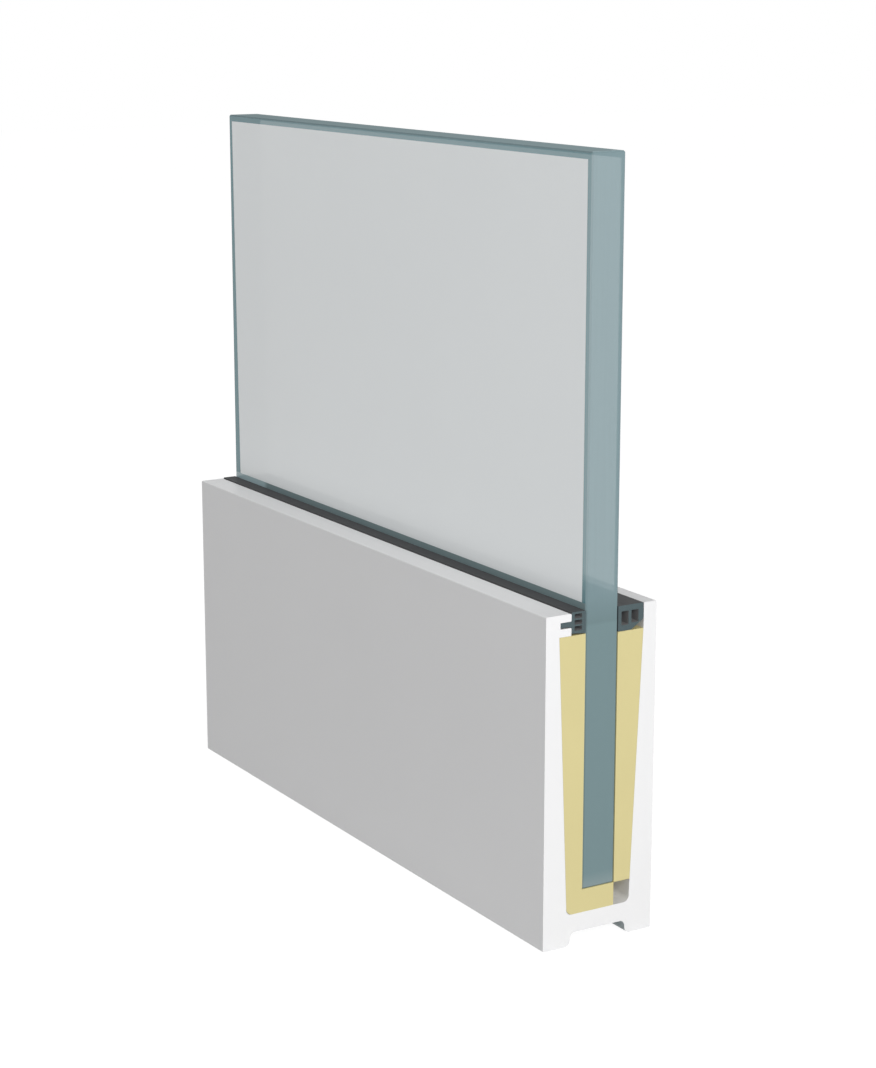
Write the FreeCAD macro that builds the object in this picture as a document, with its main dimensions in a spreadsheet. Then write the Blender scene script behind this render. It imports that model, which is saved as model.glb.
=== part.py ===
"""Glass railing base profile: a short sample of a U-shaped base shoe with its pane.

The shoe is one aluminium extrusion. An L-shaped support wedge stands against its front wall
and runs under the glass. A tapered locking wedge is driven in behind the glass. Two hollow
rubber gaskets close the mouth: the front one clips its tongue into a slot in the wall's lip,
the rear one is pushed in over the locking wedge.

Units are millimetres. X runs along the rail, Y across it (the front wall is at -Y) and Z is up.
The origin is the middle of the shoe's footprint, on the surface that it stands on.
"""

import FreeCAD, Part
import os
import Sketcher

# Driving dimensions: each one can be set by itself
SIZES = [
    ("sample_length", 240.0, "length of the cut sample, every piece flush with both ends"),
    ("glass_thickness", 12.0, "toughened pane"),
    ("glass_height", 229.5, "pane from its bottom edge to its top edge"),
    ("glass_arris", 0.5, "chamfer on every edge of the pane"),
    ("profile_height", 108.4, "shoe from its feet to the top of its walls"),
    ("wall_thickness", 4.85, "each wall of the shoe at its top"),
    ("mouth_gap", 9.8, "from the glass to a wall, under the lip"),
    ("floor_gap", 5.9, "from the line of the glass to a wall, at the floor"),
    ("floor_thickness", 6.1, "floor of the channel"),
    ("floor_fillet", 2.0, "between the floor and a wall, inside the channel"),
    ("recess_height", 4.4, "hollow under the floor"),
    ("recess_width", 21.0, "hollow between the two feet"),
    ("recess_fillet", 1.8, "between the hollow's ceiling and a foot"),
    ("foot_round", 2.0, "inner bottom edge of a foot"),
    ("outer_round", 0.4, "outer long edges of the shoe"),
    ("lower_lip", 2.5, "lip below the gasket slot"),
    ("slot_height", 2.05, "gasket slot in the front lip"),
    ("slot_depth", 4.05, "gasket slot, in from the face of the lip"),
    ("upper_lip", 2.45, "lip above the gasket slot"),
    ("seal_gap", 5.35, "from the glass to the face of the front lip"),
    ("lip_round", 0.5, "top inner edge of the front lip"),
    ("mouth_round", 0.3, "edges of the slot's mouth and of the rear wall"),
    ("anchor_hole", 9.0, "clearance hole for an M8 countersunk anchor screw"),
    ("anchor_head", 17.5, "countersink of an anchor hole"),
    ("anchor_spacing", 120.0, "between the two anchor holes"),
    ("wedge_foot", 7.6, "foot of the support wedge, under the glass"),
    ("corner_relief", 0.3, "wedge's corner rounded by this much more than the floor fillet"),
    ("fit_clearance", 0.05, "between a side of a fitted piece and what holds it"),
    ("seal_rise", 0.35, "front gasket's top above the shoe"),
    ("seal_top_round", 0.3, "long top edges of the front gasket"),
    ("seal_lift_lip", 0.7, "front gasket above the support wedge, at the lip"),
    ("seal_lift_glass", 0.2, "front gasket above the support wedge, at the glass"),
    ("seal_lip_wall", 1.1, "front gasket's side wall at the lip"),
    ("seal_glass_wall", 1.45, "front gasket's side wall at the glass"),
    ("seal_top_wall", 0.65, "front gasket above its upper chamber"),
    ("seal_bottom_wall", 0.7, "front gasket below its lower chamber"),
    ("seal_web", 0.5, "between two chambers of the front gasket"),
    ("chamber_round", 0.25, "corners of the chambers"),
    ("tongue_play", 0.45, "open space under the tongue in the slot"),
    ("tongue_flare", 1.6, "sloping root of the tongue"),
    ("tongue_round", 0.3, "corners of the tongue's tip"),
    ("rear_height", 8.1, "rear gasket, flush with the top of the shoe"),
    ("rear_seat", 0.1, "between the rear gasket and the locking wedge"),
    ("rear_foot", 5.0, "flat underside of the rear gasket, from the glass"),
    ("rear_rise", 2.6, "rise of its sloping underside"),
    ("rear_heel", 0.6, "the slope stops this far from the wall"),
    ("rear_cheek", 2.8, "height of its band of contact with the wall"),
    ("rear_relief", 0.2, "set back from the wall above and below that band"),
    ("rear_glass_side", 1.25, "rear gasket's side wall at the glass"),
    ("rear_shoe_side", 2.0, "rear gasket's side wall at the shoe"),
    ("rear_web", 1.1, "between its two chambers"),
    ("rear_top_wall", 1.85, "rear gasket above its chambers"),
    ("rear_bottom_wall", 1.8, "rear gasket below its chamber at the glass"),
    ("rear_step", 0.4, "its chamber at the shoe starts this much higher"),
]

# Places that follow from the sizes: faces are distances from the middle of the pane,
# tops and bottoms are heights
PLACES = [
    ("glass_face", "Sizes.glass_thickness / 2"),
    ("mouth_wall", "glass_face + Sizes.mouth_gap"),
    ("floor_wall", "glass_face + Sizes.floor_gap"),
    ("outer_face", "mouth_wall + Sizes.wall_thickness"),
    ("lip_face", "glass_face + Sizes.seal_gap"),
    ("slot_end", "lip_face + Sizes.slot_depth"),
    ("foot_face", "Sizes.recess_width / 2"),
    ("shoe_top", "Sizes.profile_height"),
    ("slot_top", "shoe_top - Sizes.upper_lip"),
    ("slot_bottom", "slot_top - Sizes.slot_height"),
    ("lip_bottom", "slot_bottom - Sizes.lower_lip"),
    ("floor_bottom", "Sizes.recess_height"),
    ("floor_top", "floor_bottom + Sizes.floor_thickness"),
    ("glass_bottom", "floor_top + Sizes.wedge_foot"),
    ("glass_top", "glass_bottom + Sizes.glass_height"),
    ("wall_slope", "(mouth_wall - floor_wall) / (lip_bottom - floor_top)"),
    ("seal_glass_face", "glass_face + Sizes.fit_clearance"),
    ("seal_lip_face", "lip_face - Sizes.fit_clearance"),
    ("seal_top", "shoe_top + Sizes.seal_rise"),
    ("seal_low", "lip_bottom + Sizes.seal_lift_lip"),
    ("seal_low_glass", "lip_bottom + Sizes.seal_lift_glass"),
    ("chambers_low", "seal_low + Sizes.seal_bottom_wall"),
    ("chambers_high", "seal_top - Sizes.seal_top_wall"),
    ("chamber_height", "(chambers_high - chambers_low - 2 * Sizes.seal_web) / 3"),
    ("tongue_top", "slot_top - Sizes.fit_clearance"),
    ("tongue_bottom", "slot_bottom + Sizes.tongue_play"),
    ("tongue_root", "slot_bottom + Sizes.fit_clearance"),
    ("tongue_tip", "slot_end - Sizes.fit_clearance"),
    ("rear_face", "mouth_wall - Sizes.fit_clearance"),
    ("rear_bottom", "shoe_top - Sizes.rear_height"),
    ("rear_slope_end", "rear_bottom + Sizes.rear_rise"),
    ("rear_cheek_low", "rear_slope_end + Sizes.rear_heel"),
    ("rear_cheek_high", "rear_cheek_low + Sizes.rear_cheek"),
    ("rear_chamber_low", "rear_bottom + Sizes.rear_bottom_wall"),
    ("rear_chamber_high", "shoe_top - Sizes.rear_top_wall"),
    ("rear_chamber_start", "seal_glass_face + Sizes.rear_glass_side"),
    ("rear_chamber_end", "rear_face - Sizes.rear_shoe_side"),
    ("rear_chamber_width", "(rear_chamber_end - rear_chamber_start - Sizes.rear_web) / 2"),
    ("locking_top", "rear_bottom - Sizes.rear_seat"),
]

FRONT_CHAMBERS = 3

# Numbers by which a sketch names the points of a line or circle
START = 1
END = 2
CENTRE = 3

doc = FreeCAD.newDocument("GlassRailingBaseProfile")


def add_sheet(name, rows):
    """A spreadsheet with one named value on each row."""
    sheet = doc.addObject("Spreadsheet::Sheet", name)
    for number, (alias, content, note) in enumerate(rows, start=1):
        sheet.set(f"A{number}", alias)
        sheet.set(f"B{number}", content)
        sheet.set(f"C{number}", note)
        sheet.setAlias(f"B{number}", alias)
    doc.recompute()
    return sheet


sizes = add_sheet("Sizes", [(name, str(size), note) for name, size, note in SIZES])
places = add_sheet("Places", [(name, f"={formula}", "") for name, formula in PLACES])


def value(formula):
    """What a formula over the two sheets comes to."""
    return float(places.evalExpression(formula))


def wall_at(height):
    """Formula for the distance from the middle to a sloping inner wall, at a height."""
    return f"(Places.floor_wall + Places.wall_slope * ({height} - Places.floor_top))"


def rectangle(left, right, bottom, top):
    """The corners of a rectangle, as formulas."""
    return [(left, bottom), (right, bottom), (right, top), (left, top)]


def new_body(label):
    """One physical piece, whose label names its node."""
    body = doc.addObject("PartDesign::Body", label)
    body.Label = label
    body.Placement = FreeCAD.Placement()
    return body


def new_sketch(body, name, role):
    """A sketch on one of the body's own origin planes."""
    sketch = body.newObject("Sketcher::SketchObject", name)
    plane = next(item for item in body.Origin.OriginFeatures if item.Role == role)
    sketch.AttachmentSupport = [(plane, "")]
    sketch.MapMode = "FlatFace"
    return sketch


def tie(sketch, constraint, formula):
    """Add a constraint whose size follows a formula."""
    number = sketch.addConstraint(constraint)
    sketch.setExpression(f"Constraints[{number}]", formula)


def pin_point(sketch, geometry, point, across, up):
    """Hold a point at its two distances from the sketch's origin."""
    for kind, formula in (("DistanceX", across), ("DistanceY", up)):
        size = value(formula)
        tie(sketch, Sketcher.Constraint(kind, -1, 1, geometry, point, size), formula)


def draw_section(body, name, outlines):
    """Closed outlines across the rail, each a list of (across, up) formulas."""
    sketch = new_sketch(body, name, "YZ_Plane")
    for outline in outlines:
        corners = [FreeCAD.Vector(value(across), value(up), 0) for across, up in outline]
        first = sketch.GeometryCount
        last = first + len(corners) - 1
        for start, end in zip(corners, corners[1:] + corners[:1]):
            sketch.addGeometry(Part.LineSegment(start, end))
        for line in range(first, last + 1):
            after = first if line == last else line + 1
            sketch.addConstraint(Sketcher.Constraint("Coincident", line, END, after, START))
        for line, (across, up) in enumerate(outline, start=first):
            pin_point(sketch, line, START, across, up)
    return sketch


def extrude(body, name, outline):
    """Extrude a section over the sample's length, half of it each way."""
    pad = body.newObject("PartDesign::Pad", f"{name}Pad")
    pad.Profile = draw_section(body, f"{name}Section", [outline])
    pad.SideType = "Symmetric"
    pad.setExpression("Length", "Sizes.sample_length")
    doc.recompute()


def see_cut(body, before):
    """A cut that points away from the solid takes nothing out and shows no error."""
    if not 0 < body.Shape.Volume < before:
        raise RuntimeError(f"the last cut took nothing out of {body.Label}")


def bore_lengthwise(body, name, outlines):
    """Cut hollow chambers along the whole length."""
    before = body.Shape.Volume
    sketch = draw_section(body, f"{name}Section", outlines)
    pocket = body.newObject("PartDesign::Pocket", f"{name}Pocket")
    pocket.Profile = sketch
    pocket.SideType = "Symmetric"
    pocket.Type = "ThroughAll"
    doc.recompute()
    see_cut(body, before)


def long_edges(body, corners):
    """Names of the edges along X that pass through the given corners of the section."""
    names = []
    for across, up in corners:
        corner = FreeCAD.Vector(0, value(across), value(up))
        for number, edge in enumerate(body.Shape.Edges, start=1):
            offsets = [vertex.Point - corner for vertex in edge.Vertexes]
            if all(abs(offset.y) < 1e-4 and abs(offset.z) < 1e-4 for offset in offsets):
                names.append(f"Edge{number}")
    if len(names) != len(corners):
        raise RuntimeError(f"{body.Label}: {len(names)} edges found for {len(corners)} corners")
    return names


def round_corners(body, name, radius, corners):
    """Round the long edges at the given corners of the section."""
    names = long_edges(body, corners)
    base = body.Tip
    fillet = body.newObject("PartDesign::Fillet", name)
    fillet.Base = (base, names)
    fillet.setExpression("Radius", radius)
    doc.recompute()


def make_base_profile():
    """The shoe: one extrusion with a plain rear wall and a slotted lip on the front wall."""
    body = new_body("base_profile")
    extrude(body, "Shoe", [
        ("-Places.outer_face", "0"),
        ("-Places.foot_face", "0"),
        ("-Places.foot_face", "Places.floor_bottom"),
        ("Places.foot_face", "Places.floor_bottom"),
        ("Places.foot_face", "0"),
        ("Places.outer_face", "0"),
        ("Places.outer_face", "Places.shoe_top"),
        ("Places.mouth_wall", "Places.shoe_top"),
        ("Places.mouth_wall", "Places.lip_bottom"),
        ("Places.floor_wall", "Places.floor_top"),
        ("-Places.floor_wall", "Places.floor_top"),
        ("-Places.mouth_wall", "Places.lip_bottom"),
        ("-Places.lip_face", "Places.lip_bottom"),
        ("-Places.lip_face", "Places.slot_bottom"),
        ("-Places.slot_end", "Places.slot_bottom"),
        ("-Places.slot_end", "Places.slot_top"),
        ("-Places.lip_face", "Places.slot_top"),
        ("-Places.lip_face", "Places.shoe_top"),
        ("-Places.outer_face", "Places.shoe_top"),
    ])
    sides = ("-", "")
    round_corners(body, "FloorFillets", "Sizes.floor_fillet",
                  [(f"{side}Places.floor_wall", "Places.floor_top") for side in sides])
    round_corners(body, "RecessFillets", "Sizes.recess_fillet",
                  [(f"{side}Places.foot_face", "Places.floor_bottom") for side in sides])
    round_corners(body, "FootRounds", "Sizes.foot_round",
                  [(f"{side}Places.foot_face", "0") for side in sides])
    round_corners(body, "OuterRounds", "Sizes.outer_round",
                  [(f"{side}Places.outer_face", height)
                   for side in sides for height in ("0", "Places.shoe_top")])
    round_corners(body, "LipRound", "Sizes.lip_round", [("-Places.lip_face", "Places.shoe_top")])
    round_corners(body, "MouthRounds", "Sizes.mouth_round", [
        ("-Places.lip_face", "Places.slot_top"),
        ("-Places.lip_face", "Places.slot_bottom"),
        ("Places.mouth_wall", "Places.shoe_top"),
    ])
    drill_anchor_holes(body)
    return body


def drill_anchor_holes(body):
    """Countersunk holes in the floor: the screw heads lie flush under the wedge's foot."""
    before = body.Shape.Volume
    sketch = new_sketch(body, "AnchorCentres", "XY_Plane")
    sketch.setExpression(".AttachmentOffset.Base.z", "Places.floor_top")
    diameter = value("Sizes.anchor_hole")
    for number, side in enumerate(("-", "")):
        along = f"{side}Sizes.anchor_spacing / 2"
        centre = FreeCAD.Vector(value(along), 0, 0)
        sketch.addGeometry(Part.Circle(centre, FreeCAD.Vector(0, 0, 1), diameter / 2))
        pin_point(sketch, number, CENTRE, along, "0")
        tie(sketch, Sketcher.Constraint("Diameter", number, diameter), "Sizes.anchor_hole")
    doc.recompute()
    hole = body.newObject("PartDesign::Hole", "AnchorHoles")
    hole.Profile = sketch
    doc.recompute()
    hole.DepthType = "ThroughAll"
    hole.HoleCutType = "Countersink"
    hole.HoleCutCustomValues = True
    hole.HoleCutCountersinkAngle = 90
    hole.setExpression("Diameter", "Sizes.anchor_hole")
    hole.setExpression("HoleCutDiameter", "Sizes.anchor_head")
    doc.recompute()
    see_cut(body, before)


def make_glass_panel():
    """The pane, with its edges arrised."""
    body = new_body("glass_panel")
    extrude(body, "Glass", rectangle("-Places.glass_face", "Places.glass_face",
                                     "Places.glass_bottom", "Places.glass_top"))
    base = body.Tip
    arris = body.newObject("PartDesign::Chamfer", "Arris")
    arris.Base = (base, [f"Edge{number + 1}" for number in range(len(base.Shape.Edges))])
    arris.setExpression("Size", "Sizes.glass_arris")
    doc.recompute()
    return body


def make_support_wedge():
    """The L-shaped wedge: a leg against the front wall and a foot under the glass."""
    body = new_body("support_wedge")
    corner = (f"-{wall_at('Places.floor_top')} + Sizes.fit_clearance", "Places.floor_top")
    extrude(body, "Support", [
        corner,
        ("Places.glass_face", "Places.floor_top"),
        ("Places.glass_face", "Places.glass_bottom"),
        ("-Places.seal_glass_face", "Places.glass_bottom"),
        ("-Places.seal_glass_face", "Places.lip_bottom - Sizes.fit_clearance"),
        (f"-{wall_at('Places.lip_bottom')} + Sizes.fit_clearance",
         "Places.lip_bottom - Sizes.fit_clearance"),
    ])
    round_corners(body, "SupportCorner", "Sizes.floor_fillet + Sizes.corner_relief", [corner])
    return body


def make_locking_wedge():
    """The tapered wedge between the glass and the rear wall."""
    body = new_body("locking_wedge")
    extrude(body, "Locking", [
        ("Places.seal_glass_face", "Places.glass_bottom"),
        (f"{wall_at('Places.glass_bottom')} - Sizes.fit_clearance", "Places.glass_bottom"),
        (f"{wall_at('Places.locking_top')} - Sizes.fit_clearance", "Places.locking_top"),
        ("Places.seal_glass_face", "Places.locking_top"),
    ])
    return body


def make_front_gasket():
    """The clip-in gasket: stacked chambers, a raised top and a tongue with a flared root."""
    body = new_body("front_gasket")
    tip_low = ("-Places.tongue_tip", "Places.tongue_bottom")
    tip_high = ("-Places.tongue_tip", "Places.tongue_top")
    top_edges = [("-Places.seal_lip_face", "Places.seal_top"),
                 ("-Places.seal_glass_face", "Places.seal_top")]
    extrude(body, "FrontSeal", [
        ("-Places.seal_glass_face", "Places.seal_low_glass"),
        top_edges[1],
        top_edges[0],
        ("-Places.seal_lip_face", "Places.tongue_top"),
        tip_high,
        tip_low,
        ("-Places.seal_lip_face - Sizes.tongue_flare", "Places.tongue_bottom"),
        ("-Places.seal_lip_face", "Places.tongue_root"),
        ("-Places.seal_lip_face", "Places.seal_low"),
    ])
    chambers = []
    for number in range(FRONT_CHAMBERS):
        low = f"Places.chambers_low + {number} * (Places.chamber_height + Sizes.seal_web)"
        chambers.append(rectangle(
            "-Places.seal_lip_face + Sizes.seal_lip_wall",
            "-Places.seal_glass_face - Sizes.seal_glass_wall",
            low, f"{low} + Places.chamber_height"))
    bore_lengthwise(body, "FrontChambers", chambers)
    round_corners(body, "FrontChamberRounds", "Sizes.chamber_round",
                  [corner for chamber in chambers for corner in chamber])
    round_corners(body, "TopRounds", "Sizes.seal_top_round", top_edges)
    round_corners(body, "TongueRounds", "Sizes.tongue_round", [tip_low, tip_high])
    return body


def make_rear_gasket():
    """The push-in gasket: two chambers side by side and a sloping underside."""
    body = new_body("rear_gasket")
    set_back = "Places.rear_face - Sizes.rear_relief"
    extrude(body, "RearSeal", [
        ("Places.seal_glass_face", "Places.rear_bottom"),
        ("Places.seal_glass_face + Sizes.rear_foot", "Places.rear_bottom"),
        ("Places.rear_face - Sizes.rear_heel", "Places.rear_slope_end"),
        ("Places.rear_face", "Places.rear_cheek_low"),
        ("Places.rear_face", "Places.rear_cheek_high"),
        (set_back, "Places.rear_cheek_high + Sizes.rear_relief"),
        (set_back, "Places.shoe_top"),
        ("Places.seal_glass_face", "Places.shoe_top"),
    ])
    chambers = [
        rectangle("Places.rear_chamber_start",
                  "Places.rear_chamber_start + Places.rear_chamber_width",
                  "Places.rear_chamber_low", "Places.rear_chamber_high"),
        rectangle("Places.rear_chamber_end - Places.rear_chamber_width",
                  "Places.rear_chamber_end",
                  "Places.rear_chamber_low + Sizes.rear_step", "Places.rear_chamber_high"),
    ]
    bore_lengthwise(body, "RearChambers", chambers)
    round_corners(body, "RearChamberRounds", "Sizes.chamber_round",
                  [corner for chamber in chambers for corner in chamber])
    return body


def check_document():
    """Stop if any object of the document failed."""
    doc.recompute()
    for item in doc.Objects:
        if {"Invalid", "Error"} & set(item.State):
            raise RuntimeError(f"{item.Name} failed: {item.State}")


def write_pieces(bodies):
    """Write each piece to its own file, once all of them are whole."""
    for body in bodies:
        if body.Shape.isNull() or not body.Shape.isValid() or len(body.Shape.Solids) != 1:
            raise RuntimeError(f"{body.Label} isn't one sound solid")
    os.makedirs("parts", exist_ok=True)
    for body in bodies:
        body.Shape.exportStep(f"parts/{body.Label}.step")
        print(f"{body.Label}: {body.Shape.Volume / 1000:.2f} cm3, {len(body.Shape.Faces)} faces")


pieces = [
    make_base_profile(),
    make_glass_panel(),
    make_support_wedge(),
    make_locking_wedge(),
    make_front_gasket(),
    make_rear_gasket(),
]
check_document()
write_pieces(pieces)
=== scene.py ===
"""Finishes and studio for a short sample of a glass railing's base profile.

The sample is a white coated aluminium shoe that holds a toughened pane with two plastic wedges
and two rubber gaskets. Every size is in metres. X runs along the rail, Y across it from the
slotted front wall to the plain rear wall, and Z is up from the surface that the shoe stands on.
"""

import math

import bmesh
import bpy
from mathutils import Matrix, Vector


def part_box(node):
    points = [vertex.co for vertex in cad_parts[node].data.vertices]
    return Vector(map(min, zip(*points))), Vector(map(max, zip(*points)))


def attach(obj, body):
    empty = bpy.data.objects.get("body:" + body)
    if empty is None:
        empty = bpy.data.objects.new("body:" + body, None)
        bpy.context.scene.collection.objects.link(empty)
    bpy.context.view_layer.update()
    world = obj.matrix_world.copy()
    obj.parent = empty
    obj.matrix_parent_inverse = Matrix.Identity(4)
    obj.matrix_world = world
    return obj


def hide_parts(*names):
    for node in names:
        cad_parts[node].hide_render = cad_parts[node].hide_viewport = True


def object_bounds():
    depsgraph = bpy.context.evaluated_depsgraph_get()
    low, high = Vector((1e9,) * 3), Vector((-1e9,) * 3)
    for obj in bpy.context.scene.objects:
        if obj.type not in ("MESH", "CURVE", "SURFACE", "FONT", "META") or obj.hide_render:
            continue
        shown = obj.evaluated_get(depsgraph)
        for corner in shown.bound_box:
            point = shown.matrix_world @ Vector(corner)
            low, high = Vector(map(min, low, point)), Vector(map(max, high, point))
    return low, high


bl_info = {
    "name": "Glass Railing Base Profile",
    "version": (1, 0, 0),
    "blender": (4, 5, 0),
    "location": "3D View > Sidebar > Railing",
    "description": "Finishes the pieces of a glass railing's base profile and lights them",
    "category": "Object",
}

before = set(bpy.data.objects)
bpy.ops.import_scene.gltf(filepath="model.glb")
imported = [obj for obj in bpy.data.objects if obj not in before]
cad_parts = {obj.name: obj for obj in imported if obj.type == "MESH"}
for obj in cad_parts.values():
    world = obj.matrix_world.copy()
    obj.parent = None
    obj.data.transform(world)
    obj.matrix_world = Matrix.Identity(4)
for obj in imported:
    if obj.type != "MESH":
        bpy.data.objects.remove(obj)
CAD_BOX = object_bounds()
PANE_LOW, PANE_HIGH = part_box("glass_panel")
SHOE_LOW, SHOE_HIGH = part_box("base_profile")

# Merging of a CAD node's loose triangles
MERGE_DISTANCE = 0.000002
FLAT_ANGLE = math.radians(1.0)

# How squarely a face looks across the rail to count as one of the pane's two faces
SQUARE_ON = 0.9

# How near a point is to a flat end or top to count as on it
SKIN_DEPTH = 0.00005

# Where the hollow between the shoe's feet lies, across the rail and above its footing; the coat
# takes painted shade there
FLOOR_HOLLOW = (-0.0118, 0.0118)
HOLLOW_HEIGHT = 0.0046

# Where the gaskets' chambers lie, across the rail and above its footing; their walls take painted
# light there
FRONT_CHAMBERS = (-0.0104, -0.0073)
REAR_CHAMBERS = (0.0071, 0.0140)
CHAMBER_HEIGHTS = (0.1020, 0.1082)

# Edges of the pane's painted stretches, painted light and painted shade among them
BORDER_BLUR = 0.00008
FAR_LIGHT_FADE = (-0.002, 0.001)
HOLD_DEPTH = 0.001
LOW_START = 0.001

# Fineness of the textures, in grains per metre
COAT_CLOUDS = 9.0
COAT_DRAW_LINES = 900.0
PANE_CLOUDS = 14.0
PANE_SMEARS = 45.0
EDGE_STREAKS = 900.0
PLASTIC_CLOUDS = 35.0
PLASTIC_GRAIN = 1600.0
PLASTIC_FLOW = 500.0
SAW_MARKS = 1400.0
RUBBER_BLOOM = 120.0
RUBBER_SPECKS = 2600.0
RUBBER_FLOW = 700.0

# Depth of the bumps
PEEL_DEPTH = 0.00002
DRAW_DEPTH = 0.000008
STREAK_DEPTH = 0.000004
GRAIN_DEPTH = 0.00001
SAW_DEPTH = 0.00002
FLOW_DEPTH = 0.00001
SPECK_DEPTH = 0.000012
RUBBER_FLOW_DEPTH = 0.000015

# Roughness, from its lowest to its highest, and the coat's about its own level
COAT_ROUGHNESS_DRIFT = (-0.05, 0.06)
PANE_ROUGHNESS = (0.03, 0.09)
EDGE_ROUGHNESS = (0.5, 0.62)
PLASTIC_ROUGHNESS = (0.42, 0.56)
RUBBER_ROUGHNESS = (0.62, 0.78)

GLASS_IOR = 1.52
RUBBER_SHINE = 0.3

# Gap that keeps the floor and the feet out of one plane
FLOOR_GAP = 0.0001


# Shader nodes


def new_material(name):
    """An empty material, with its node tree and its Principled shader."""
    material = bpy.data.materials.new(name)
    material.use_nodes = True
    tree = material.node_tree
    return material, tree, tree.nodes["Principled BSDF"]


def add_node(tree, kind, settings=None, inputs=None):
    """A node with its own settings, and its inputs given as values or as sockets to link."""
    node = tree.nodes.new(kind)
    for name, setting in (settings or {}).items():
        setattr(node, name, setting)
    for name, given in (inputs or {}).items():
        if isinstance(given, bpy.types.NodeSocket):
            tree.links.new(given, node.inputs[name])
        else:
            node.inputs[name].default_value = given
    return node


def calculate(tree, operation, *given):
    """One step of arithmetic on numbers or sockets."""
    inputs = dict(enumerate(given))
    return add_node(tree, "ShaderNodeMath", {"operation": operation}, inputs).outputs[0]


def own_place(tree):
    """The Object coordinates of the shaded point."""
    return add_node(tree, "ShaderNodeTexCoord").outputs["Object"]


def split_axes(tree, place):
    """The X, Y and Z of a place."""
    return add_node(tree, "ShaderNodeSeparateXYZ", None, {"Vector": place}).outputs


def noise(tree, place, fineness, detail=2.0, stretch=(1.0, 1.0, 1.0)):
    """Noise between 0 and 1 with this many grains in a metre, stretched by axis."""
    turned = add_node(tree, "ShaderNodeMapping", None,
                      {"Vector": place, "Scale": [1.0 / size for size in stretch]})
    grain = add_node(tree, "ShaderNodeTexNoise", None,
                     {"Vector": turned.outputs[0], "Scale": fineness, "Detail": detail})
    return grain.outputs["Fac"]


def spread(tree, value, low, high, start=0.3, end=0.7):
    """A value from start to end carried over to low to high, clamped."""
    inputs = {"Value": value, "From Min": start, "From Max": end, "To Min": low, "To Max": high}
    return add_node(tree, "ShaderNodeMapRange", None, inputs).outputs[0]


def blend_colours(tree, factor, first, second):
    """The first colour where factor is 0 and the second where it is 1."""
    mix = add_node(tree, "ShaderNodeMix", {"data_type": "RGBA"})
    for socket, given in ((mix.inputs[0], factor), (mix.inputs[6], first), (mix.inputs[7], second)):
        if isinstance(given, bpy.types.NodeSocket):
            tree.links.new(given, socket)
        elif isinstance(given, float):
            socket.default_value = given
        else:
            socket.default_value = (*given[:3], 1.0)
    return mix.outputs[2]


def raise_surface(tree, shader, layers):
    """Bumps on the shader, each layer a height socket with its depth in metres."""
    normal = None
    for height, depth in layers:
        inputs = {"Height": height, "Distance": depth, "Strength": 1.0}
        if normal is not None:
            inputs["Normal"] = normal
        normal = add_node(tree, "ShaderNodeBump", None, inputs).outputs[0]
    tree.links.new(normal, shader.inputs["Normal"])


def between(tree, value, low, high):
    """1 where the value lies between two limits, 0 elsewhere."""
    above = calculate(tree, "GREATER_THAN", value, low)
    return calculate(tree, "MULTIPLY", above, calculate(tree, "LESS_THAN", value, high))


def shade(colour, factor):
    """A colour made darker or lighter."""
    return tuple(part * factor for part in colour[:3])


def mottle(tree, pattern, colour, low, high=1.0):
    """A colour that follows a pattern from one shade of itself to another."""
    return blend_colours(tree, spread(tree, pattern, 0.0, 1.0), shade(colour, low),
                         shade(colour, high))


def cut_end(tree, place):
    """1 on the two sawn ends of the sample, 0 elsewhere."""
    reach = calculate(tree, "ABSOLUTE", split_axes(tree, place)["X"])
    return calculate(tree, "GREATER_THAN", reach, SHOE_HIGH.x - SKIN_DEPTH)


def merged_copy(node_name, name):
    """A piece that stands for a CAD node, with the same shape in whole faces."""
    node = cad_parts[node_name]
    shape = bmesh.new()
    shape.from_mesh(node.data)
    shape.transform(node.matrix_world)
    bmesh.ops.remove_doubles(shape, verts=shape.verts, dist=MERGE_DISTANCE)
    bmesh.ops.dissolve_limit(shape, angle_limit=FLAT_ANGLE, verts=shape.verts,
                             edges=shape.edges)
    bmesh.ops.recalc_face_normals(shape, faces=shape.faces)
    mesh = bpy.data.meshes.new(name)
    shape.to_mesh(mesh)
    shape.free()
    piece = bpy.data.objects.new(name, mesh)
    bpy.context.scene.collection.objects.link(piece)
    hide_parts(node_name)
    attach(piece, "root")
    return piece


def cover(node_name, material):
    """Give a CAD node's surface this material."""
    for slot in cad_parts[node_name].material_slots:
        slot.material = material


# Sizes and colours


def length(name, description, default):
    """A size in metres."""
    return bpy.props.FloatProperty(name=name, description=description, default=default,
                                   min=0.0, subtype="DISTANCE", unit="LENGTH", precision=4)


def spot(name, description, default):
    """A place or an offset in metres."""
    return bpy.props.FloatVectorProperty(name=name, description=description, default=default,
                                         size=3, subtype="TRANSLATION", unit="LENGTH")


def colour(name, description, default):
    """A colour in linear light."""
    return bpy.props.FloatVectorProperty(name=name, description=description, default=default,
                                         min=0.0, max=1.0, size=3, subtype="COLOR")


def share(name, description, default):
    """A share between 0 and 1."""
    return bpy.props.FloatProperty(name=name, description=description, default=default,
                                   min=0.0, max=1.0, subtype="FACTOR")


def watts(name, description, default):
    """A lamp's power."""
    return bpy.props.FloatProperty(name=name, description=description, default=default,
                                   min=0.0, subtype="POWER", unit="POWER")


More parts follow.
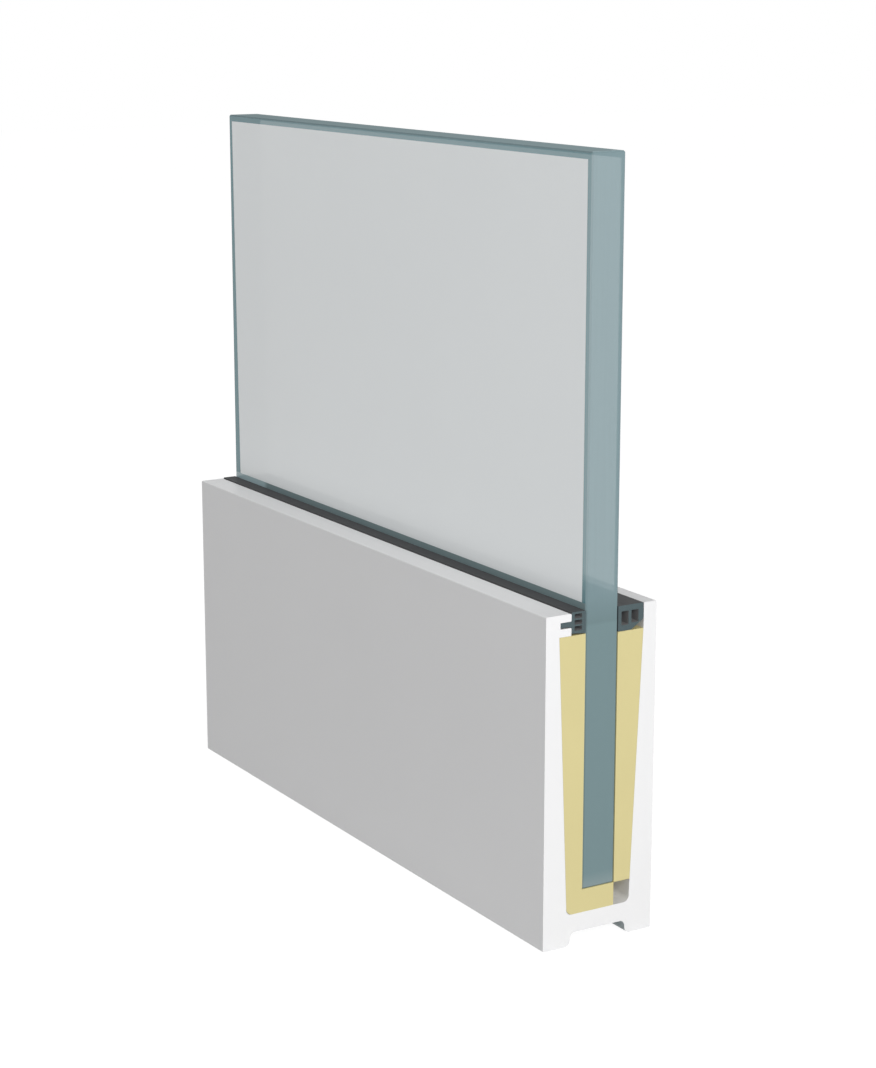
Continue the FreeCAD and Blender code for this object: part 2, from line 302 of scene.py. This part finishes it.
class RailingFinish(bpy.types.PropertyGroup):
    """Colours and textures of the pieces."""

    coat: colour("Coat", "White powder coat of the shoe", (0.81, 0.81, 0.815))
    # Painted shade: the dull teal grey that the hollow between the feet takes
    hollow_shade: colour("Hollow Shade", "Painted shade in the hollow between the feet",
                      (0.36, 0.42, 0.43))
    coat_roughness: share("Coat Roughness", "How matt the powder coat is", 0.42)
    coat_grain: length("Coat Grain", "Size of the coat's orange peel", 0.0009)
    glass_field: colour("Pane", "Pale field of the pane's faces", (0.94, 0.975, 0.985))
    # Painted refraction: the border stands for the edges' tint seen through each face
    border_refraction: colour("Pane Border", "Tinted border round each face", (0.143, 0.302, 0.34))
    # Painted light: the border over the gaskets is lighter than the rest, against the shade by the
    # lip, and lighter still near the far end
    foot_band_light: colour("Pane Foot", "The border that shows over the gaskets", (0.255, 0.345, 0.36))
    far_foot_light: colour("Far Foot Light", "The foot's border near the far end, where light comes in",
                       (0.46, 0.62, 0.66))
    glass_edge: colour("Pane Edge", "Tint of the ground edges", (0.212, 0.296, 0.318))
    # Painted shade: the edges darker where the shoe's channel shades them, lighter again over their
    # lowest few millimetres
    channel_shade: colour("Held Edge", "Painted shade on the edges in the channel", (0.175, 0.25, 0.263))
    glass_low: colour("Pane Foot Edge", "Tint of the edges' lowest few millimetres",
                      (0.225, 0.29, 0.30))
    # Painted light: the top edge lighter where the light from above falls on it
    top_edge_light: colour("Pane Top", "Painted light on the top edge", (0.335, 0.435, 0.455))
    glass_margin: length("Pane Margin", "Width of the border", 0.0023)
    # The border of painted refraction widens at the far end towards the pane's foot
    far_margin: length("Far Margin", "The border at the far end, at the pane's foot", 0.0042)
    far_light_reach: length("Glow Reach", "How far along the foot the far end's light reaches", 0.026)
    # Height over which the edges take their painted shade in the channel
    edge_fade: length("Edge Fade", "Height over which the held edge takes its painted shade", 0.010)
    low_reach: length("Low Reach", "Height of the lighter stretch at the foot of the edges", 0.005)
    edge_cover: share("Edge Cover", "How little shows through the pane's edges", 0.89)
    front_cover: share("Front Cover", "How little shows through the pane's front face", 0.985)
    back_cover: share("Back Cover", "How little shows through the pane's back face", 0.10)
    plastic: colour("Wedge", "Cream yellow plastic of the wedges", (0.63, 0.555, 0.27))
    rubber: colour("Gasket", "Extruded skin of the gaskets", (0.047, 0.049, 0.051))
    rubber_cut: colour("Gasket Cut", "Cut ends of the gaskets", (0.068, 0.097, 0.105))
    # Painted light: a pale grey that lifts the shade inside the gaskets' chambers
    chamber_light: colour("Gasket Core", "Painted light on the walls of the gaskets' chambers", (0.20, 0.20, 0.203))


class RailingStudio(bpy.types.PropertyGroup):
    """Camera, lamps and floor."""

    camera_place: spot("Camera", "Where the camera stands", (0.7029, -0.4110, 0.2952))
    camera_turn: bpy.props.FloatProperty(
        name="Camera Turn", description="Direction of view, from -X towards +Y",
        default=math.radians(31.13), subtype="ANGLE", unit="ROTATION")
    camera_dip: bpy.props.FloatProperty(
        name="Camera Dip", description="Direction of view, below the horizon",
        default=math.radians(12.92), subtype="ANGLE", unit="ROTATION")
    lens: bpy.props.FloatProperty(
        name="Lens", description="Focal length in millimetres on a 36 mm sensor", default=80.68,
        min=1.0)
    room_light: share("Room Light", "Even light from all round", 0.30)
    key_light: watts("Key Light", "Soft lamp on the near cut end", 20.7)
    key_offset: spot("Key Offset", "The key lamp's place from the sample's middle",
                     (1.5, -0.25, 0.6))
    fill_light: watts("Fill Light", "Soft lamp high in front of the long side", 1.65)
    fill_place: spot("Fill Place", "Where the fill lamp stands", (-0.2, -0.8, 0.9))
    lamp_size: length("Lamp Size", "Side of each square lamp", 0.8)
    floor_size: length("Floor", "Side of the floor", 8.0)
    floor_shade: share("Floor Shade", "How much light the floor throws back", 0.6)
    floor_glow: bpy.props.FloatProperty(
        name="Floor Glow", description="How white the floor is seen", default=1.34, min=0.0)
    shadow_share: share("Shadow", "How much of the floor's colour its own shadow can take", 0.3)


# Pieces


class RAILING_OT_coat_shoe(bpy.types.Operator):
    """Coat the aluminium shoe in white powder, with painted shade in the hollow between its feet"""

    bl_idname = "railing.coat_shoe"
    bl_label = "Coat Shoe"

    def execute(self, context):
        finish = context.scene.railing_finish
        material, tree, shader = new_material("white_powder_coat")
        place = own_place(tree)
        skin = calculate(tree, "SUBTRACT", 1.0, cut_end(tree, place))
        clouds = noise(tree, place, COAT_CLOUDS)
        peel = noise(tree, place, 1.0 / finish.coat_grain, 3.0)
        draw_lines = noise(tree, place, COAT_DRAW_LINES, 1.0, (400.0, 1.0, 1.0))

        axes = split_axes(tree, place)
        # Painted shade in the hollow between the feet, away from the cut ends
        under = calculate(tree, "MULTIPLY", between(tree, axes["Y"], *FLOOR_HOLLOW),
                          calculate(tree, "LESS_THAN", axes["Z"], HOLLOW_HEIGHT))
        hollow = calculate(tree, "MULTIPLY", under, skin)
        coat = mottle(tree, clouds, finish.coat, 0.975)
        tree.links.new(blend_colours(tree, hollow, coat, finish.hollow_shade),
                       shader.inputs["Base Color"])

        smooth, rough = (finish.coat_roughness + drift for drift in COAT_ROUGHNESS_DRIFT)
        tree.links.new(spread(tree, peel, smooth, rough), shader.inputs["Roughness"])
        drawn = calculate(tree, "MULTIPLY", draw_lines, skin)
        raise_surface(tree, shader, [(peel, PEEL_DEPTH), (drawn, DRAW_DEPTH)])
        cover("base_profile", material)
        return {"FINISHED"}


def polished_glass(finish):
    """The pane's two faces: a pale field inside a tinted border of painted refraction, lighter over
    the gaskets and with painted light near the far end of its foot, opaque where the shoe holds it.
    """
    material, tree, shader = new_material("polished_glass")
    place = own_place(tree)
    axes = split_axes(tree, place)
    # Painted refraction: a border of the edges' tint round each face
    margin = finish.glass_margin
    far_margin = spread(tree, axes["Z"], finish.far_margin, margin, SHOE_HIGH.z, PANE_HIGH.z)
    from_near = calculate(tree, "SUBTRACT", PANE_HIGH.x - margin, axes["X"])
    from_far = calculate(tree, "SUBTRACT",
                         calculate(tree, "SUBTRACT", axes["X"], PANE_LOW.x), far_margin)
    from_top = calculate(tree, "SUBTRACT", PANE_HIGH.z - margin, axes["Z"])
    from_shoe = calculate(tree, "SUBTRACT", axes["Z"], SHOE_HIGH.z + margin)
    nearest = calculate(tree, "MINIMUM", calculate(tree, "MINIMUM", from_near, from_far),
                        calculate(tree, "MINIMUM", from_top, from_shoe))
    field = spread(tree, nearest, 0.0, 1.0, 0.0, BORDER_BLUR)
    border = calculate(tree, "SUBTRACT", 1.0, field)

    pale = mottle(tree, noise(tree, place, PANE_CLOUDS), finish.glass_field, 0.985)
    # Painted light on the foot's border, strongest near the far end
    fade_start, fade_end = (PANE_LOW.x + finish.far_light_reach + step for step in FAR_LIGHT_FADE)
    far_light_mask = spread(tree, axes["X"], 1.0, 0.0, fade_start, fade_end)
    foot = blend_colours(tree, far_light_mask, finish.foot_band_light, finish.far_foot_light)
    at_foot = calculate(tree, "LESS_THAN", from_shoe, 0.0)
    tint = blend_colours(tree, at_foot, finish.border_refraction, foot)
    tree.links.new(blend_colours(tree, field, tint, pale), shader.inputs["Base Color"])

    back = calculate(tree, "GREATER_THAN", axes["Y"], 0.0)
    face_cover = spread(tree, back, finish.front_cover, finish.back_cover, 0.0, 1.0)
    held = spread(tree, axes["Z"], 1.0, finish.edge_cover, SHOE_HIGH.z - HOLD_DEPTH, SHOE_HIGH.z)
    tree.links.new(
        calculate(tree, "ADD", calculate(tree, "MULTIPLY", field, face_cover),
                  calculate(tree, "MULTIPLY", border, held)),
        shader.inputs["Alpha"])

    smears = noise(tree, place, PANE_SMEARS, 4.0, (1.0, 1.0, 2.0))
    tree.links.new(spread(tree, smears, *PANE_ROUGHNESS), shader.inputs["Roughness"])
    shader.inputs["IOR"].default_value = GLASS_IOR
    return material


def ground_glass(finish):
    """The pane's ground edges: a matt tint, with painted shade in the channel that is lighter at
    the foot, and painted light on the top edge.
    """
    material, tree, shader = new_material("ground_glass")
    place = own_place(tree)
    height = split_axes(tree, place)["Z"]
    held = spread(tree, height, 1.0, 0.0, SHOE_HIGH.z - finish.edge_fade / 2,
                  SHOE_HIGH.z + finish.edge_fade / 2)
    low = spread(tree, height, 1.0, 0.0, PANE_LOW.z + LOW_START, PANE_LOW.z + finish.low_reach)
    top = calculate(tree, "GREATER_THAN", height, PANE_HIGH.z - SKIN_DEPTH)
    streaks = noise(tree, place, EDGE_STREAKS, 2.0, (30.0, 1.0, 30.0))

    open_edge = mottle(tree, streaks, finish.glass_edge, 0.975)
    # Painted shade in the channel, lighter at the foot, and painted light on the top edge
    channel_edge_shade = blend_colours(tree, low, finish.channel_shade, finish.glass_low)
    side = blend_colours(tree, held, open_edge, channel_edge_shade)
    tree.links.new(blend_colours(tree, top, side, finish.top_edge_light),
                   shader.inputs["Base Color"])

    solid = calculate(tree, "MAXIMUM", held, top)
    tree.links.new(calculate(tree, "MAXIMUM", solid, finish.edge_cover), shader.inputs["Alpha"])
    tree.links.new(spread(tree, streaks, *EDGE_ROUGHNESS), shader.inputs["Roughness"])
    shader.inputs["Specular IOR Level"].default_value = 0.0
    raise_surface(tree, shader, [(streaks, STREAK_DEPTH)])
    return material


class RAILING_OT_tint_pane(bpy.types.Operator):
    """Cut the pane with polished faces and matt ground edges"""

    bl_idname = "railing.tint_pane"
    bl_label = "Tint Pane"

    def execute(self, context):
        finish = context.scene.railing_finish
        pane = merged_copy("glass_panel", "glass_pane")
        pane.data.materials.append(polished_glass(finish))
        pane.data.materials.append(ground_glass(finish))
        for face in pane.data.polygons:
            face.material_index = 0 if abs(face.normal.y) > SQUARE_ON else 1
        return {"FINISHED"}


class RAILING_OT_mould_wedges(bpy.types.Operator):
    """Give the support wedge and the locking wedge their satin yellow plastic"""

    bl_idname = "railing.mould_wedges"
    bl_label = "Mould Wedges"

    def execute(self, context):
        finish = context.scene.railing_finish
        material, tree, shader = new_material("wedge_plastic")
        place = own_place(tree)
        ends = cut_end(tree, place)
        clouds = noise(tree, place, PLASTIC_CLOUDS, 3.0)
        grain = noise(tree, place, PLASTIC_GRAIN, 3.0)
        flow = noise(tree, place, PLASTIC_FLOW, 2.0, (60.0, 1.0, 1.0))
        saw = noise(tree, place, SAW_MARKS, 2.0, (1.0, 1.0, 14.0))

        tone = calculate(tree, "ADD", calculate(tree, "MULTIPLY", clouds, 0.7),
                         calculate(tree, "MULTIPLY", grain, 0.3))
        tree.links.new(mottle(tree, tone, finish.plastic, 0.955), shader.inputs["Base Color"])
        tree.links.new(spread(tree, grain, *PLASTIC_ROUGHNESS), shader.inputs["Roughness"])
        sawn = calculate(tree, "MULTIPLY", saw, ends)
        skin = calculate(tree, "MULTIPLY", flow, calculate(tree, "SUBTRACT", 1.0, ends))
        raise_surface(tree, shader,
                      [(grain, GRAIN_DEPTH), (sawn, SAW_DEPTH), (skin, FLOW_DEPTH)])
        cover("support_wedge", material)
        cover("locking_wedge", material)
        return {"FINISHED"}


class RAILING_OT_press_gaskets(bpy.types.Operator):
    """Give the two gaskets their dark rubber, a little greener where it is cut, with painted light
    on the walls of their chambers
    """

    bl_idname = "railing.press_gaskets"
    bl_label = "Press Gaskets"

    def execute(self, context):
        finish = context.scene.railing_finish
        material, tree, shader = new_material("gasket_rubber")
        place = own_place(tree)
        ends = cut_end(tree, place)
        axes = split_axes(tree, place)
        beside = calculate(tree, "ADD",
                           between(tree, axes["Y"], *FRONT_CHAMBERS),
                           between(tree, axes["Y"], *REAR_CHAMBERS))
        # Painted light on the chambers' walls, lifting their shade
        lit_chambers = calculate(tree, "MULTIPLY", beside, between(tree, axes["Z"], *CHAMBER_HEIGHTS))
        bloom = noise(tree, place, RUBBER_BLOOM, 4.0)
        speck = noise(tree, place, RUBBER_SPECKS, 2.0)
        flow = noise(tree, place, RUBBER_FLOW, 2.0, (80.0, 1.0, 1.0))

        skin = mottle(tree, bloom, finish.rubber, 0.88, 1.1)
        cut = mottle(tree, speck, finish.rubber_cut, 0.9, 1.08)
        walls = blend_colours(tree, lit_chambers, skin, finish.chamber_light)
        tree.links.new(blend_colours(tree, ends, walls, cut), shader.inputs["Base Color"])
        tree.links.new(spread(tree, bloom, *RUBBER_ROUGHNESS), shader.inputs["Roughness"])
        shader.inputs["Specular IOR Level"].default_value = RUBBER_SHINE
        raise_surface(tree, shader, [(speck, SPECK_DEPTH), (flow, RUBBER_FLOW_DEPTH)])
        cover("front_gasket", material)
        cover("rear_gasket", material)
        return {"FINISHED"}


# Studio


def unseen_light(tree):
    """1 for what the camera, a mirror or clear glass sees, 0 for light that falls on a surface."""
    path = add_node(tree, "ShaderNodeLightPath").outputs
    seen = calculate(tree, "MAXIMUM", path["Is Camera Ray"], path["Is Glossy Ray"])
    return calculate(tree, "MAXIMUM", seen, path["Is Transmission Ray"])


def light_room(scene, studio):
    """A white room whose light on the object is plain."""
    world = bpy.data.worlds.new("white_room")
    world.use_nodes = True
    tree = world.node_tree
    strength = spread(tree, unseen_light(tree), studio.room_light, 1.0, 0.0, 1.0)
    background = tree.nodes["Background"]
    background.inputs["Color"].default_value = (1.0, 1.0, 1.0, 1.0)
    tree.links.new(strength, background.inputs["Strength"])
    scene.world = world


def lay_floor(studio):
    """A pale floor that the camera sees as white, apart from the object's soft shadow."""
    mesh = bpy.data.meshes.new("floor")
    plan = bmesh.new()
    bmesh.ops.create_grid(plan, x_segments=1, y_segments=1, size=studio.floor_size / 2)
    bmesh.ops.translate(plan, verts=plan.verts, vec=(0.0, 0.0, SHOE_LOW.z - FLOOR_GAP))
    plan.to_mesh(mesh)
    plan.free()
    floor = bpy.data.objects.new("floor", mesh)
    bpy.context.scene.collection.objects.link(floor)
    material, tree, shader = new_material("pale_floor")
    grey = studio.floor_shade
    shader.inputs["Base Color"].default_value = (grey, grey, grey, 1.0)
    shader.inputs["Roughness"].default_value = 0.9
    shader.inputs["Specular IOR Level"].default_value = 0.1
    white = add_node(tree, "ShaderNodeEmission", None, {"Strength": studio.floor_glow})
    shown = add_node(tree, "ShaderNodeMixShader")
    hidden = calculate(tree, "MULTIPLY", unseen_light(tree), 1.0 - studio.shadow_share)
    tree.links.new(hidden, shown.inputs["Fac"])
    tree.links.new(shader.outputs[0], shown.inputs[1])
    tree.links.new(white.outputs[0], shown.inputs[2])
    output = tree.nodes["Material Output"]
    tree.links.new(shown.outputs[0], output.inputs["Surface"])
    mesh.materials.append(material)


def add_lamp(name, power, place, target, size):
    """A square soft lamp that faces the target."""
    data = bpy.data.lights.new(name, "AREA")
    data.energy = power
    data.size = size
    lamp = bpy.data.objects.new(name, data)
    lamp.location = place
    lamp.rotation_mode = "QUATERNION"
    lamp.rotation_quaternion = (target - place).to_track_quat("-Z", "Y")
    bpy.context.scene.collection.objects.link(lamp)


def set_camera(scene, studio):
    """The camera, at the photograph's angle."""
    data = bpy.data.cameras.new("view")
    data.lens = studio.lens
    data.sensor_width = 36.0
    data.clip_start = 0.01
    camera = bpy.data.objects.new("view", data)
    turn = studio.camera_turn
    dip = studio.camera_dip
    direction = Vector((-math.cos(turn) * math.cos(dip), math.sin(turn) * math.cos(dip),
                        -math.sin(dip)))
    camera.location = studio.camera_place
    camera.rotation_mode = "QUATERNION"
    camera.rotation_quaternion = direction.to_track_quat("-Z", "Y")
    scene.collection.objects.link(camera)
    scene.camera = camera


class RAILING_OT_set_studio(bpy.types.Operator):
    """Lay the floor, light the room and set the camera"""

    bl_idname = "railing.set_studio"
    bl_label = "Set Studio"

    def execute(self, context):
        scene = context.scene
        studio = scene.railing_studio
        light_room(scene, studio)
        lay_floor(studio)
        middle = (CAD_BOX[0] + CAD_BOX[1]) / 2
        add_lamp("key", studio.key_light, middle + Vector(studio.key_offset), middle,
                 studio.lamp_size)
        add_lamp("fill", studio.fill_light, Vector(studio.fill_place), middle,
                 studio.lamp_size)
        set_camera(scene, studio)
        scene.view_settings.view_transform = "Standard"
        return {"FINISHED"}


class RAILING_PT_sample(bpy.types.Panel):
    """Finishes of the sample and its studio"""

    bl_label = "Railing Sample"
    bl_space_type = "VIEW_3D"
    bl_region_type = "UI"
    bl_category = "Railing"

    def draw(self, context):
        layout = self.layout
        for group in (context.scene.railing_finish, context.scene.railing_studio):
            column = layout.column(align=True)
            for name in group.bl_rna.properties.keys():
                if name not in {"rna_type", "name"}:
                    column.prop(group, name)
        for operator in STEPS:
            layout.operator(operator.bl_idname)


STEPS = (
    RAILING_OT_coat_shoe,
    RAILING_OT_tint_pane,
    RAILING_OT_mould_wedges,
    RAILING_OT_press_gaskets,
    RAILING_OT_set_studio,
)
CLASSES = (RailingFinish, RailingStudio, *STEPS, RAILING_PT_sample)


def register():
    """Add the classes and the scene's two groups of values."""
    for item in CLASSES:
        bpy.utils.register_class(item)
    bpy.types.Scene.railing_finish = bpy.props.PointerProperty(type=RailingFinish)
    bpy.types.Scene.railing_studio = bpy.props.PointerProperty(type=RailingStudio)


def unregister():
    """Take them out again."""
    del bpy.types.Scene.railing_studio
    del bpy.types.Scene.railing_finish
    for item in reversed(CLASSES):
        bpy.utils.unregister_class(item)


def main():
    """Finish every piece and set the studio."""
    register()
    bpy.ops.railing.coat_shoe()
    bpy.ops.railing.tint_pane()
    bpy.ops.railing.mould_wedges()
    bpy.ops.railing.press_gaskets()
    bpy.ops.railing.set_studio()


if __name__ == "__main__":
    main()
